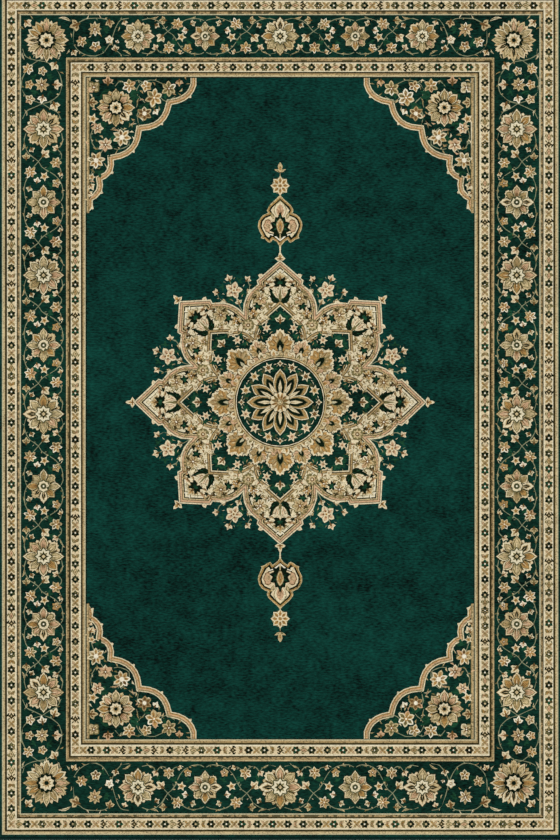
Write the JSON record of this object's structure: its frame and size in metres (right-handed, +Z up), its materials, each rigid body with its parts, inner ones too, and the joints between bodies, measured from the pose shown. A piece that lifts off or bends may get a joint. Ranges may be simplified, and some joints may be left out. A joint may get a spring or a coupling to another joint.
{
  "type": "mosque carpet",
  "caption": "Flat rectangular pile carpet with a medallion-and-corner pattern, floral borders and overcast edges, laid flat on a floor.",
  "frame": {"origin": "centre of the carpet, on the floor under it", "axes": "+X across the width, +Y along the length towards the narrower main border, +Z up out of the pile"},
  "size_m": [2, 3, 0.012],
  "materials": {
    "carpet_pile": "cut pile",
    "binding_yarn": "wrapped yarn"
  },
  "bodies": {
    "root": {"carpet": "carpet_pile", "binding_right": "binding_yarn", "binding_far": "binding_yarn", "binding_left": "binding_yarn", "binding_near": "binding_yarn"}
  },
  "joints": []
}
